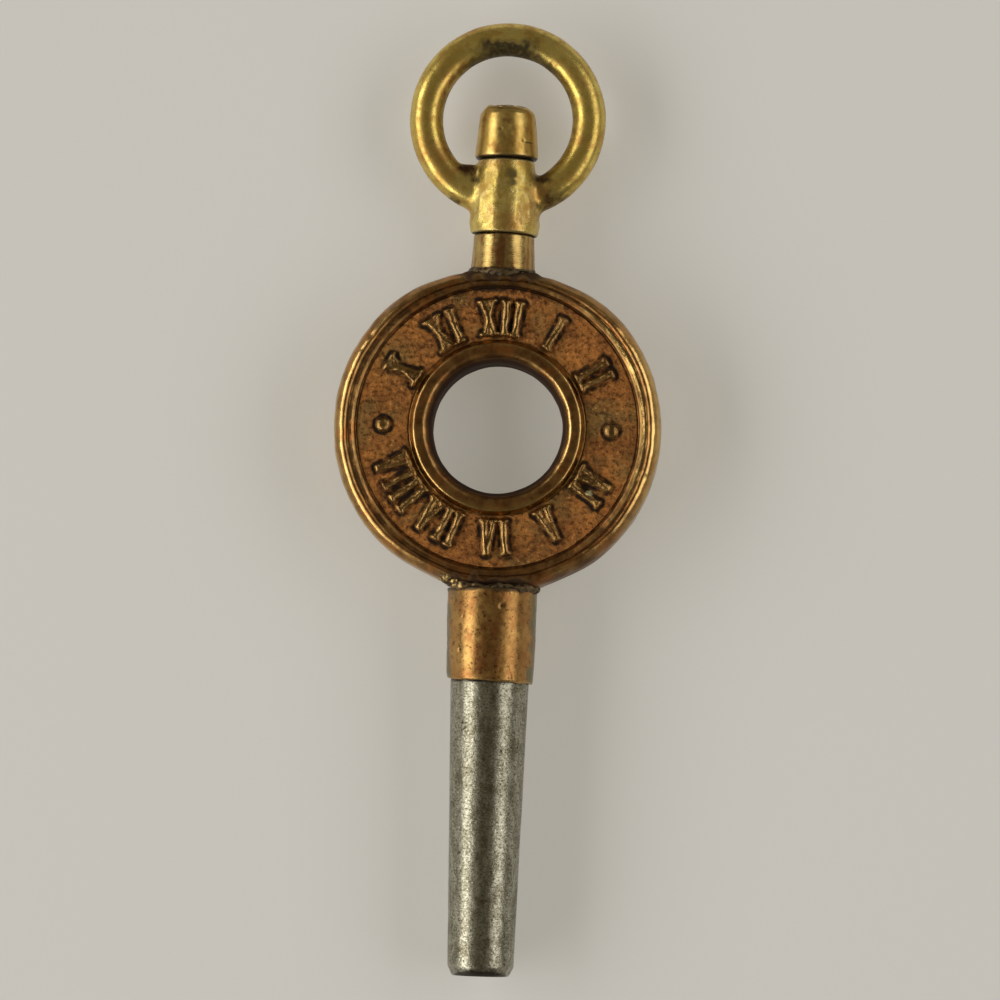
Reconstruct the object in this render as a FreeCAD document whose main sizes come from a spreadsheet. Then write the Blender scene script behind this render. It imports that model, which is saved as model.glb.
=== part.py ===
"""A pocket watch key with a swivel bow, in millimetres.

The key lies along Y, with the bow towards +Y and the square socket opening towards -Y. The flat of the head
disc lies in the XY plane. The origin is the centre of the hole through the head disc.
"""

import FreeCAD, Part

import math
import os

import Sketcher
from FreeCAD import Vector

os.makedirs("parts", exist_ok=True)
doc = FreeCAD.newDocument("watch_key")

# Driving dimensions
DIMENSIONS = {
    # Head disc
    "head_radius": 6.85,
    "head_thickness": 3.0,
    "rim_edge_radius": 0.28,
    "rim_crest_width": 0.07,
    "rim_flank_width": 0.27,
    "rim_bead_width": 0.21,
    "rim_bead_drop": 0.18,
    "rim_step_width": 0.12,
    "field_depth": 0.3,
    "hole_radius": 2.73,
    "hole_land_length": 1.6,
    "hole_flare_width": 0.29,
    "band_width": 0.45,
    "band_slope_width": 0.21,
    "neck_flat_depth": 0.29,
    "ferrule_flat_depth": 0.16,
    # Numerals and pellets on both faces of the disc
    "numeral_inner_margin": 0.18,
    "numeral_outer_margin": 0.54,
    "numeral_relief": 0.22,
    "numeral_stroke": 0.28,
    "numeral_thin_stroke": 0.2,
    "serif_thickness": 0.13,
    "serif_overhang": 0.07,
    "wide_letter_width": 0.84,
    "letter_gap": 0.08,
    "pellet_radius": 0.33,
    "pellet_offset": 0.15,
    # Stem
    "neck_length": 1.66,
    "neck_bottom_radius": 1.385,
    "neck_top_radius": 1.28,
    "tenon_radius": 0.8,
    "tenon_length": 2.2,
    "post_radius": 0.75,
    "rivet_radius": 0.95,
    "rivet_depth": 0.2,
    # Bow
    "swivel_clearance": 0.05,
    "end_float": 0.03,
    "collar_length": 3.1,
    "collar_bottom_radius": 1.4,
    "collar_widest_radius": 1.485,
    "collar_widest_height": 0.5,
    "collar_top_radius": 1.175,
    "collar_edge_radius": 0.15,
    "ring_radius": 3.425,
    "ring_wire_radius": 0.7,
    "ring_height": 4.81,
    # Cap
    "cap_length": 2.31,
    "cap_bottom_radius": 1.335,
    "cap_top_radius": 1.2,
    "cap_edge_radius": 0.32,
    # Ferrule
    "ferrule_length": 3.86,
    "ferrule_top_radius": 1.89,
    "ferrule_mouth_radius": 1.83,
    "ferrule_edge_radius": 0.08,
    "tang_radius": 1.35,
    "tang_length": 1.6,
    "solder_gap": 0.02,
    # Pipe
    "pipe_length": 12.26,
    "pipe_shoulder_radius": 1.64,
    "pipe_spigot_radius": 1.6,
    "pipe_tip_radius": 1.37,
    "pipe_tip_edge_radius": 0.2,
    "socket_width": 1.3,
    "socket_depth": 7.0,
    "socket_mouth_radius": 1.0,
    "pilot_radius": 0.66,
    "pilot_depth": 8.4,
}

sheet = doc.addObject("Spreadsheet::Sheet", "Dimensions")
for row, (alias, value) in enumerate(DIMENSIONS.items(), start=1):
    sheet.set(f"A{row}", alias)
    sheet.set(f"B{row}", str(value))
    sheet.setAlias(f"B{row}", alias)
doc.recompute()


class Size:
    """A length with its present value and the formula over the sheet that it comes from."""

    def __init__(self, formula, value):
        self.formula = formula
        self.value = value

    def __add__(self, other):
        other = as_size(other)
        return Size(f"({self.formula} + {other.formula})", self.value + other.value)

    def __sub__(self, other):
        other = as_size(other)
        return Size(f"({self.formula} - {other.formula})", self.value - other.value)

    def __truediv__(self, divisor):
        return Size(f"({self.formula} / {divisor})", self.value / divisor)

    def __neg__(self):
        return Size(f"(0 - {self.formula})", -self.value)


def as_size(number):
    return number if isinstance(number, Size) else Size(str(number), number)


def size(alias):
    """The size that the sheet holds under this alias."""
    return Size(f"Dimensions.{alias}", float(sheet.get(alias)))


ZERO = as_size(0)
# How far the outline of a cut runs past the piece
CUT_MARGIN = 1
DEGREES_PER_HOUR = 30

# Places along the key's axis, measured from the middle of the disc
neck_seat = size("head_radius") - size("neck_flat_depth")
collar_seat = neck_seat + size("neck_length") + size("end_float")
cap_seat = collar_seat + size("collar_length") + size("end_float")
ferrule_seat = size("head_radius") - size("ferrule_flat_depth")
ferrule_mouth = ferrule_seat + size("ferrule_length")
spigot_length = size("ferrule_length") - size("tang_length") - size("solder_gap")

# Radii and heights on the disc
half_thickness = size("head_thickness") / 2
field_half_thickness = half_thickness - size("field_depth")
bead_half_thickness = half_thickness - size("rim_bead_drop")
crest_outer = size("head_radius") - size("rim_edge_radius")
crest_inner = crest_outer - size("rim_crest_width")
bead_outer = crest_inner - size("rim_flank_width")
bead_inner = bead_outer - size("rim_bead_width")
field_outer = bead_inner - size("rim_step_width")
band_inner = size("hole_radius") + size("hole_flare_width")
band_outer = band_inner + size("band_width")
field_inner = band_outer + size("band_slope_width")
numeral_foot = field_inner + size("numeral_inner_margin")
numeral_height = field_outer - size("numeral_outer_margin") - numeral_foot


def new_body(name, along=ZERO):
    """An empty body for one piece, with its own origin at a place along the key's axis."""
    body = doc.addObject("PartDesign::Body", name)
    body.Label = name
    body.setExpression("Placement.Base.y", along.formula)
    return body


def origin_plane(body, role):
    return next(plane for plane in body.Origin.OriginFeatures if plane.Role == role)


def new_sketch(body, name, role, offset=None):
    """A sketch on one of the body's origin planes, moved off it by an offset along its normal."""
    sketch = body.newObject("Sketcher::SketchObject", name)
    sketch.AttachmentSupport = [(origin_plane(body, role), "")]
    sketch.MapMode = "FlatFace"
    if offset is not None:
        sketch.setExpression("AttachmentOffset.Base.z", offset.formula)
    return sketch


def bind_point(sketch, geometry, end, x, y):
    """Holds one point of the sketch at x and y from its origin."""
    for kind, length in (("DistanceX", x), ("DistanceY", y)):
        index = sketch.addConstraint(Sketcher.Constraint(kind, -1, 1, geometry, end, length.value))
        sketch.setExpression(f"Constraints[{index}]", length.formula)


def arc_through(start, end, radius, turns_left):
    """The arc of under half a turn from start to end, on the side that its turning direction gives."""
    chord = end - start
    middle = (start + end) / 2
    side = Vector(-chord.y, chord.x, 0) / chord.Length
    reach = math.sqrt(radius**2 - (chord.Length / 2) ** 2)
    centre = middle + side * (reach if turns_left else -reach)
    first = math.atan2(start.y - centre.y, start.x - centre.x)
    last = math.atan2(end.y - centre.y, end.x - centre.x)
    if not turns_left:
        first, last = last, first
    circle = Part.Circle(centre, Vector(0, 0, 1), radius)
    return Part.ArcOfCircle(circle, first, last if last > first else last + 2 * math.pi)


def draw_outline(sketch, corners):
    """A closed outline. A corner is (x, y), or (x, y, radius, turns_left) where an arc leads on from it."""
    spots = [Vector(x.value, y.value, 0) for x, y, *_ in corners]
    for number, (x, y, *bend) in enumerate(corners):
        start, end = spots[number], spots[(number + 1) % len(spots)]
        start_end = 1
        if bend:
            radius, turns_left = bend
            edge = sketch.addGeometry(arc_through(start, end, radius.value, turns_left), False)
            index = sketch.addConstraint(Sketcher.Constraint("Radius", edge, radius.value))
            sketch.setExpression(f"Constraints[{index}]", radius.formula)
            start_end = 1 if turns_left else 2
        else:
            edge = sketch.addGeometry(Part.LineSegment(start, end), False)
        bind_point(sketch, edge, start_end, x, y)
    for number, (_, _, *bend) in enumerate(corners):
        following = (number + 1) % len(corners)
        next_bend = corners[following][2:]
        leaving_end = 1 if bend and not bend[1] else 2
        entering_end = 2 if next_bend and not next_bend[1] else 1
        joint = Sketcher.Constraint("Coincident", number, leaving_end, following, entering_end)
        sketch.addConstraint(joint)


def turn(body, kind, name, sketch):
    """Turns a sketch round its own vertical axis, adding or taking away material."""
    feature = body.newObject(f"PartDesign::{kind}", name)
    feature.Profile = sketch
    feature.ReferenceAxis = (sketch, ["V_Axis"])
    feature.Angle = 360
    return feature


def turned(body, kind, name, corners, role="XY_Plane", offset=None):
    sketch = new_sketch(body, f"{name}_section", role, offset)
    draw_outline(sketch, corners)
    return turn(body, kind, name, sketch)


def box_corners(low_x, high_x, low_y, high_y):
    return [(low_x, low_y), (high_x, low_y), (high_x, high_y), (low_x, high_y)]


def head_section():
    """Half of the disc's section, from its hole out to its rim. x is the radius, y the height."""
    edge = size("rim_edge_radius")
    upper = [
        (size("hole_radius"), size("hole_land_length") / 2),
        (band_inner, half_thickness),
        (band_outer, half_thickness),
        (field_inner, field_half_thickness),
        (field_outer, field_half_thickness),
        (bead_inner, bead_half_thickness),
        (bead_outer, bead_half_thickness),
        (crest_inner, half_thickness),
        (crest_outer, half_thickness),
        (size("head_radius"), half_thickness - edge),
    ]
    lower = [(x, -y) for x, y in reversed(upper)]
    corners = upper + lower
    # The rim's two outer corners are quarter rounds
    corners[len(upper) - 2] += (edge, False)
    corners[len(upper)] += (edge, False)
    return corners


def build_head_blank():
    """The struck disc with its two seats, the stem's bore and the ferrule's tang."""
    body = new_body("head_blank")
    turned(body, "Revolution", "disc", head_section(), "XZ_Plane")

    beyond = size("head_radius") + CUT_MARGIN
    for name, near, far in (
        ("neck_flat", neck_seat, beyond),
        ("ferrule_flat", -beyond, -ferrule_seat),
    ):
        sketch = new_sketch(body, f"{name}_outline", "XY_Plane")
        draw_outline(sketch, box_corners(-beyond, beyond, near, far))
        flat = body.newObject("PartDesign::Pocket", name)
        flat.Profile = sketch
        flat.Type = "ThroughAll"
        flat.Midplane = True

    bore_radius = size("tenon_radius") + size("solder_gap")
    bore_end = neck_seat - size("tenon_length") - size("solder_gap")
    turned(body, "Groove", "tenon_bore", box_corners(ZERO, bore_radius, bore_end, beyond))

    tang_root = size("ferrule_flat_depth") - ferrule_seat
    tang_end = -(ferrule_seat + size("tang_length"))
    turned(body, "Revolution", "tang", box_corners(ZERO, size("tang_radius"), tang_end, tang_root))
    return body


def bar(x, low, high, lean, width):
    """A stroke as a flat four-sided face, from x at its foot to x + lean at its top."""
    half = width / 2
    spots = ((x - half, low), (x + half, low), (x + lean + half, high), (x + lean - half, high))
    corners = [Vector(a, b, 0) for a, b in spots]
    return Part.Face(Part.makePolygon(corners + corners[:1]))


def letter_face(letter):
    """One letter of a numeral, standing on y = 0 with its middle at x = 0."""
    tall = numeral_height.value
    stroke = size("numeral_stroke").value
    serif = size("serif_thickness").value
    foot = stroke + 2 * size("serif_overhang").value
    lean = size("wide_letter_width").value / 2 - foot / 2
    thin = size("numeral_thin_stroke").value
    strokes = {
        "I": [bar(0, 0, tall, 0, stroke), bar(0, 0, serif, 0, foot), bar(0, tall - serif, tall, 0, foot)],
        "V": [
            bar(0, 0, tall, -lean, stroke),
            bar(0, 0, tall, lean, thin),
            bar(-lean, tall - serif, tall, 0, foot),
            bar(lean, tall - serif, tall, 0, foot),
        ],
        "X": [bar(lean, 0, tall, -2 * lean, stroke), bar(-lean, 0, tall, 2 * lean, thin)]
        + [bar(x, y, y + serif, 0, foot) for x in (-lean, lean) for y in (0, tall - serif)],
    }[letter]
    return strokes[0].fuse(strokes[1:]).removeSplitter()


def letter_width(letter):
    if letter == "I":
        return size("numeral_stroke").value + 2 * size("serif_overhang").value
    return size("wide_letter_width").value


def place_letter(face, hour, arc, upright):
    """Turns a letter to its place round the dial, in the field of the front face."""
    if upright:
        face.translate(Vector(0, numeral_foot.value, 0))
        face.rotate(Vector(), Vector(0, 0, 1), -DEGREES_PER_HOUR * hour - arc)
    else:
        face.translate(Vector(0, -numeral_foot.value - numeral_height.value, 0))
        face.rotate(Vector(), Vector(0, 0, 1), 180 - DEGREES_PER_HOUR * hour + arc)
    face.translate(Vector(0, 0, field_half_thickness.value - size("field_depth").value / 2))


def numeral_letters(numeral, hour, upright):
    """The letters of one numeral as raised solids, side by side round the dial."""
    gap = size("letter_gap").value
    relief = size("field_depth").value / 2 + size("numeral_relief").value
    middle_radius = (numeral_foot + numeral_height / 2).value
    widths = [letter_width(letter) for letter in numeral]
    along = -(sum(widths) + gap * (len(widths) - 1)) / 2
    for letter, width in zip(numeral, widths):
        face = letter_face(letter)
        place_letter(face, hour, math.degrees((along + width / 2) / middle_radius), upright)
        yield face.extrude(Vector(0, 0, relief)).Solids[0]
        along += width + gap


def build_letters():
    """Raised hour numerals on both faces. Those of the lower half stand with their tops to the hole."""
    upper_hours = {10: "X", 11: "XI", 12: "XII", 1: "I", 2: "II"}
    lower_hours = {4: "IV", 5: "V", 6: "VI", 7: "VII", 8: "VIII"}
    solids = []
    for hours, upright in ((upper_hours, True), (lower_hours, False)):
        for hour, numeral in hours.items():
            solids += numeral_letters(numeral, hour, upright)
    letters = []
    for half_turn in (0, 180):
        for solid in solids:
            letter = doc.addObject("Part::Feature", "letter")
            letter.Shape = solid
            letter.Placement = FreeCAD.Placement(Vector(), FreeCAD.Rotation(Vector(0, 1, 0), half_turn))
            letters.append(letter)
    return letters


def build_pellets():
    """A raised pellet between the upper and lower numerals, left and right on both faces."""
    across = numeral_foot + numeral_height / 2 + size("pellet_offset")
    height = field_half_thickness + size("numeral_relief") - size("pellet_radius")
    pellets = []
    for x, z in ((across, height), (-across, height), (across, -height), (-across, -height)):
        pellet = doc.addObject("Part::Sphere", "pellet")
        pellet.setExpression("Radius", size("pellet_radius").formula)
        pellet.setExpression("Placement.Base.x", x.formula)
        pellet.setExpression("Placement.Base.z", z.formula)
        pellets.append(pellet)
    return pellets


def build_head_disc():
    head = doc.addObject("Part::MultiFuse", "head_disc")
    head.Label = "head_disc"
    head.Shapes = [build_head_blank(), *build_letters(), *build_pellets()]
    return head


def build_stem():
    """The neck with its tenon below and the post that carries the bow above."""
    body = new_body("stem", neck_seat)
    neck_top = size("neck_length")
    post_top = cap_seat - neck_seat + size("cap_length")
    rivet_start = post_top - size("rivet_depth")
    corners = [
        (ZERO, -size("tenon_length")),
        (size("tenon_radius"), -size("tenon_length")),
        (size("tenon_radius"), ZERO),
        (size("neck_bottom_radius"), ZERO),
        (size("neck_top_radius"), neck_top),
        (size("post_radius"), neck_top),
        (size("post_radius"), rivet_start),
        (size("rivet_radius"), post_top),
        (ZERO, post_top),
    ]
    turned(body, "Revolution", "turning", corners)
    return body


def build_bow():
    """The ring and its collar, cast in one and bored through for the stem's post."""
    body = new_body("bow", collar_seat)
    edge = size("collar_edge_radius")
    length = size("collar_length")
    corners = [
        (ZERO, ZERO),
        (size("collar_bottom_radius"), ZERO),
        (size("collar_widest_radius"), size("collar_widest_height")),
        (size("collar_top_radius"), length - edge),
        (size("collar_top_radius") - edge, length),
        (ZERO, length),
    ]
    turned(body, "Revolution", "collar", corners)

    ring_sketch = new_sketch(body, "ring_section", "XZ_Plane", -size("ring_height"))
    wire = size("ring_wire_radius")
    spot = Vector(size("ring_radius").value, 0, 0)
    circle = ring_sketch.addGeometry(Part.Circle(spot, Vector(0, 0, 1), wire.value), False)
    bind_point(ring_sketch, circle, 3, size("ring_radius"), ZERO)
    index = ring_sketch.addConstraint(Sketcher.Constraint("Radius", circle, wire.value))
    ring_sketch.setExpression(f"Constraints[{index}]", wire.formula)
    turn(body, "Revolution", "ring", ring_sketch)

    bore = size("post_radius") + size("swivel_clearance")
    turned(body, "Groove", "collar_bore", box_corners(ZERO, bore, -edge, length + edge))
    return body


def build_swivel_cap():
    """The tapered collet that is riveted on the post's end."""
    body = new_body("swivel_cap", cap_seat)
    edge = size("cap_edge_radius")
    length = size("cap_length")
    corners = [
        (ZERO, ZERO),
        (size("cap_bottom_radius"), ZERO),
        (size("cap_top_radius"), length - edge, edge, True),
        (size("cap_top_radius") - edge, length),
        (ZERO, length),
    ]
    turned(body, "Revolution", "turning", corners)

    gap = size("solder_gap")
    bore = size("post_radius") + gap
    countersink_start = length - size("rivet_depth")
    corners = [
        (ZERO, -edge),
        (bore, -edge),
        (bore, countersink_start),
        (size("rivet_radius") + gap, length),
        (size("rivet_radius") + gap, length + edge),
        (ZERO, length + edge),
    ]
    turned(body, "Groove", "rivet_bore", corners)
    return body


def build_pipe_ferrule():
    """The sleeve between the disc's tang and the pipe, with a bore for each."""
    body = new_body("pipe_ferrule", -ferrule_seat)
    gap = size("solder_gap")
    edge = size("ferrule_edge_radius")
    length = size("ferrule_length")
    tang_bore = size("tang_radius") + gap
    pipe_bore = size("pipe_spigot_radius") + gap
    corners = [
        (tang_bore, ZERO),
        (tang_bore, spigot_length - length),
        (pipe_bore, spigot_length - length),
        (pipe_bore, -length),
        (size("ferrule_mouth_radius") - edge, -length, edge, True),
        (size("ferrule_mouth_radius"), edge - length),
        (size("ferrule_top_radius"), ZERO),
    ]
    turned(body, "Revolution", "sleeve", corners)
    return body


def build_pipe():
    """The tapered steel pipe, with its spigot in the ferrule and its square socket at the free end."""
    body = new_body("pipe", -ferrule_mouth)
    edge = size("pipe_tip_edge_radius")
    length = size("pipe_length")
    corners = [
        (ZERO, spigot_length),
        (ZERO, -length),
        (size("pipe_tip_radius") - edge, -length, edge, True),
        (size("pipe_tip_radius"), edge - length),
        (size("pipe_shoulder_radius"), ZERO),
        (size("pipe_spigot_radius"), ZERO),
        (size("pipe_spigot_radius"), spigot_length),
    ]
    turned(body, "Revolution", "turning", corners)

    pilot = size("pilot_radius")
    pilot_end = size("pilot_depth") - length
    corners = [
        (ZERO, -(length + edge)),
        (pilot, -(length + edge)),
        (pilot, pilot_end),
        (ZERO, pilot_end + pilot / 2),
    ]
    turned(body, "Groove", "pilot_bore", corners)

    half = size("socket_width") / 2
    sketch = new_sketch(body, "socket_outline", "XZ_Plane", length)
    draw_outline(sketch, box_corners(-half, half, -half, half))
    socket = body.newObject("PartDesign::Pocket", "square_socket")
    socket.Profile = sketch
    socket.setExpression("Length", size("socket_depth").formula)

    flare = size("socket_mouth_radius") - size("socket_width") / 2
    corners = [
        (ZERO, -length),
        (size("socket_mouth_radius"), -length),
        (half, flare - length),
        (ZERO, flare - length),
    ]
    turned(body, "Groove", "socket_mouth", corners)
    return body


def check_document():
    """Stops if any object of the document failed to build, or a cut took nothing away."""
    for item in doc.Objects:
        if {"Invalid", "Error"} & set(item.State):
            raise RuntimeError(f"{item.Name} is {item.State}")
        if item.TypeId in ("PartDesign::Pocket", "PartDesign::Groove"):
            if item.Shape.Volume >= item.BaseFeature.Shape.Volume:
                raise RuntimeError(f"{item.Name} cuts nothing")


def check_piece(piece):
    shape = piece.Shape
    if shape.isNull() or not shape.isValid() or len(shape.Solids) != 1:
        raise RuntimeError(f"{piece.Label} is not one valid solid")


BUILDERS = (build_head_disc, build_stem, build_bow, build_swivel_cap, build_pipe_ferrule, build_pipe)

pieces = []
for build in BUILDERS:
    pieces.append(build())
    doc.recompute()

check_document()
for piece in pieces:
    check_piece(piece)
for piece in pieces:
    piece.Shape.exportStep(f"parts/{piece.Label}.step")
    box = piece.Shape.BoundBox
    print(f"{piece.Label}: {piece.Shape.Volume:.3f} mm3, Y {box.YMin:.2f} to {box.YMax:.2f}")
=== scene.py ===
"""The pocket watch key's detailed pieces, finishes, light and camera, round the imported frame."""

import math

import bmesh
import bpy
import numpy as np
from mathutils import Matrix, Vector


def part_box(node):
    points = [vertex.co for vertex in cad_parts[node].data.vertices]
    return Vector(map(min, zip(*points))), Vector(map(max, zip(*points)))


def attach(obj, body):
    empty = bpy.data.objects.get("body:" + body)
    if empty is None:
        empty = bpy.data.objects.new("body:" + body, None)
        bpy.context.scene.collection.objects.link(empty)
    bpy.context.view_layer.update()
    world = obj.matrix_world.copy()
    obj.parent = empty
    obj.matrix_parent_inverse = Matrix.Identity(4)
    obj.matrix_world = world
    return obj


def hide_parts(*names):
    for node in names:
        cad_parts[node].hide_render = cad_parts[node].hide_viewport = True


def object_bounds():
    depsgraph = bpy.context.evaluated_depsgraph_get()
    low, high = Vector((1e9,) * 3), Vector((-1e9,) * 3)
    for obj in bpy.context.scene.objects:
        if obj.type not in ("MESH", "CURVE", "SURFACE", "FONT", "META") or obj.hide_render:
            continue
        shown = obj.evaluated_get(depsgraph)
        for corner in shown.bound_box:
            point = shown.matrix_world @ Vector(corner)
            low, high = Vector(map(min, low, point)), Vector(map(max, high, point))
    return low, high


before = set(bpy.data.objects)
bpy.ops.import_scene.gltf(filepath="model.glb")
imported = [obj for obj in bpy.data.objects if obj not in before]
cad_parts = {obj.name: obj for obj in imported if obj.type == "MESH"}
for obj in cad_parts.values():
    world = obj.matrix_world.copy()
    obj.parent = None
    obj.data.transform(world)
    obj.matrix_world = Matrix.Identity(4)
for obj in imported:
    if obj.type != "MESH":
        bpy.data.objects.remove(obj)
cad_low, cad_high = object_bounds()

# Meshes are worked out in millimetres, with the frame's origin and axes, and scaled to metres at the end
MM = 0.001


def corners(node):
    """Lowest and highest corner of a node of the frame, in millimetres."""
    low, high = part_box(node)
    return np.array(low) / MM, np.array(high) / MM


head_high = corners("head_disc")[1]
stem_low = corners("stem")[0]
bow_low, bow_high = corners("bow")
cap_low, cap_high = corners("swivel_cap")
ferrule_low, ferrule_high = corners("pipe_ferrule")
pipe_low, pipe_high = corners("pipe")

# Sizes that the frame's boxes don't give
HOLE_RADIUS = 2.73
HOLE_LAND = 0.8
BAND_INNER, BAND_OUTER = 3.02, 3.47
FIELD_INNER, FIELD_OUTER = 3.68, 5.9
FIELD_HEIGHT = 1.2
BEAD_INNER, BEAD_OUTER, BEAD_HEIGHT = 6.02, 6.23, 1.32
CREST_INNER, CREST_OUTER = 6.5, 6.57
NUMERAL_FOOT = 3.86
NUMERAL_TALL = 1.5
NUMERAL_RELIEF = 0.22
PELLET_PLACE = 4.76
PELLET_RADIUS = 0.33
NECK_LENGTH = 1.66
NECK_BOTTOM_RADIUS, NECK_TOP_RADIUS = 1.385, 1.28
POST_RADIUS = 0.75
TENON_RADIUS = 0.8
COLLAR_LENGTH = 3.1
RING_RADIUS, WIRE_RADIUS = 3.425, 0.7
BORE_RADIUS = 0.8
FERRULE_MOUTH_RADIUS = 1.83
TANG_RADIUS = 1.35
SPIGOT_RADIUS = 1.6
PIPE_TIP_RADIUS = 1.37
SOCKET_WIDTH, SOCKET_DEPTH, SOCKET_MOUTH_RADIUS = 1.3, 7.0, 1.0
PILOT_RADIUS, PILOT_DEPTH = 0.66, 8.4

HEAD_RADIUS = head_high[0]
HEAD_HALF = head_high[2]
NECK_SEAT = head_high[1]
FERRULE_SEAT = ferrule_high[1]
FERRULE_MOUTH = ferrule_low[1]
COLLAR_SEAT = bow_low[1]
RING_CENTRE = bow_high[1] - RING_RADIUS - WIRE_RADIUS
CAP_SEAT, CAP_TOP = cap_low[1], cap_high[1]
PIPE_TIP = pipe_low[1]
CAP_RADIUS = cap_high[0]
# The riveted end of the post in the cap's countersink
RIVET_SEAT = CAP_TOP - 0.24
RIVET_EDGE = 0.88
# The distance that stands for far away
FAR = 9.0


# Shaping tools


def ease(low, high, value):
    """0 below low, 1 above high, and a smooth rise between."""
    t = np.clip((value - low) / (high - low), 0, 1)
    return t * t * (3 - 2 * t)


def ridge(place, centre, width):
    """1 at centre, falling smoothly to 0 on both sides."""
    return np.exp(-(((place - centre) / width) ** 2))


WAVES = 14


def ripples(points, wavelength, seed):
    """Smooth noise of about -1 to 1 at points: sine waves in random directions."""
    draw = np.random.default_rng(seed)
    directions = draw.normal(size=(WAVES, 3))
    directions /= np.linalg.norm(directions, axis=1, keepdims=True)
    lengths = wavelength * draw.uniform(0.65, 1.5, WAVES)
    phases = draw.uniform(0, 2 * math.pi, WAVES)
    total = np.zeros(points.shape[:-1])
    for direction, length, phase in zip(directions, lengths, phases):
        total += np.sin(points @ direction * (2 * math.pi / length) + phase)
    return total / math.sqrt(WAVES)


def spot(points, centre, radius):
    """1 at centre, falling smoothly to 0 a little past radius."""
    away = np.linalg.norm(points - np.array(centre), axis=-1)
    return np.exp(-((away / radius) ** 2))


def blend(a, b, reach):
    """The lesser of two distances, rounded where they meet, for a smooth union."""
    t = np.clip(0.5 + 0.5 * (b - a) / reach, 0, 1)
    return b * (1 - t) + a * t - reach * t * (1 - t)


def resample(rows, at, wanted):
    """Rows known at some places, worked out at the wanted places."""
    return np.stack([np.interp(wanted, at, column) for column in rows.T], axis=1)


def spaced(corner_points, softness, spacing, closed=False):
    """Points along a polyline of (radius, height) corners, its corners softened.

    spacing gives the wanted distance between points at each place of the line."""
    fine = 0.01
    line = np.array(corner_points, float)
    if closed:
        line = np.vstack([line, line[:1]])
    steps = np.linalg.norm(np.diff(line, axis=0), axis=1)
    along = np.concatenate([[0], np.cumsum(steps)])
    count = int(along[-1] / fine)
    places = np.linspace(0, along[-1], count, endpoint=not closed)
    dense = resample(line, along, places)
    half = int(4 * softness / fine)
    kernel = np.exp(-0.5 * (np.arange(-half, half + 1) * fine / softness) ** 2)
    kernel /= kernel.sum()
    if closed:
        padded = np.concatenate([dense[-half:], dense, dense[:half]])
    else:
        before = 2 * dense[0] - dense[half:0:-1]
        after = 2 * dense[-1] - dense[-2 : -half - 2 : -1]
        padded = np.concatenate([before, dense, after])
    soft = np.stack([np.convolve(padded[:, k], kernel, "valid") for k in (0, 1)], axis=1)
    density = np.cumsum(fine / spacing(soft))
    wanted = np.linspace(density[0], density[-1], int(density[-1]), endpoint=not closed)
    return resample(soft, density, wanted)


def around(radius, height, *offsets):
    """Corners of an outline, each by its offset from a radius and a height."""
    return [(radius + out, height + up) for out, up in offsets]


def most(*layers):
    """The greatest of several layers of marks, point by point."""
    return np.maximum.reduce(np.broadcast_arrays(*layers))


# Meshes


def skin(grid, looped):
    """Points and faces of a grid whose columns close round. Its rows close too, or end in a cap."""
    rows, columns = grid.shape[:2]
    row_starts = np.arange(rows if looped else rows - 1)[:, None]
    across = np.arange(columns)
    a = row_starts * columns + across
    b = row_starts * columns + (across + 1) % columns
    c = (row_starts + 1) % rows * columns + (across + 1) % columns
    d = (row_starts + 1) % rows * columns + across
    faces = np.stack([a, b, c, d], axis=-1).reshape(-1, 4).tolist()
    points = grid.reshape(-1, 3)
    if looped:
        return points, faces
    ends = np.array([grid[0].mean(axis=0), grid[-1].mean(axis=0)])
    for centre, start in ((len(points), 0), (len(points) + 1, (rows - 1) * columns)):
        faces += [[centre, start + k, start + (k + 1) % columns] for k in range(columns)]
    return np.vstack([points, ends]), faces


def vertex_mean(values, edges, count):
    """Mean at each vertex of values at the ends of edges, all the first ends before the second ones."""
    ends = edges.T.ravel()
    return np.bincount(ends, values, count) / np.bincount(ends, minlength=count).clip(1)


def neighbour_mean(values, edges):
    """Mean of each vertex's neighbours' values."""
    return vertex_mean(values[edges[:, ::-1].T.ravel()], edges, len(values))


def numbers(items, field, width, kind=float):
    """A field of a mesh's items, with a row for each item."""
    values = np.empty(len(items) * width, kind)
    items.foreach_get(field, values)
    return values.reshape(-1, width)


WEAR_SOFTENING = 2


def add_wear(mesh):
    """Marks each vertex's sharp edges ("edge") and hollows ("crevice") from 0 to 1."""
    points = numbers(mesh.vertices, "co", 3) / MM
    normals = numbers(mesh.vertex_normals, "vector", 3)
    edges = numbers(mesh.edges, "vertices", 2, np.int32)
    nearby = np.stack([neighbour_mean(column, edges) for column in points.T], axis=1)
    rise = ((nearby - points) * normals).sum(axis=1)
    reach = np.linalg.norm(points[edges[:, 0]] - points[edges[:, 1]], axis=1) ** 2
    bend = rise / vertex_mean(np.tile(reach, 2), edges, len(points)).clip(1e-6)
    for _ in range(WEAR_SOFTENING):
        bend = 0.5 * bend + 0.5 * neighbour_mean(bend, edges)
    mark(mesh, "edge", ease(0.35, 2.0, -bend))
    mark(mesh, "crevice", ease(0.15, 1.4, bend))


def mark(mesh, name, values):
    """Stores one number per vertex, which materials read by name."""
    layer = mesh.attributes.new(name, "FLOAT", "POINT")
    layer.data.foreach_set("value", np.asarray(values, np.float32).ravel())


def add_object(name, data):
    """A new object in the scene."""
    thing = bpy.data.objects.new(name, data)
    bpy.context.scene.collection.objects.link(thing)
    return thing


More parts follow.
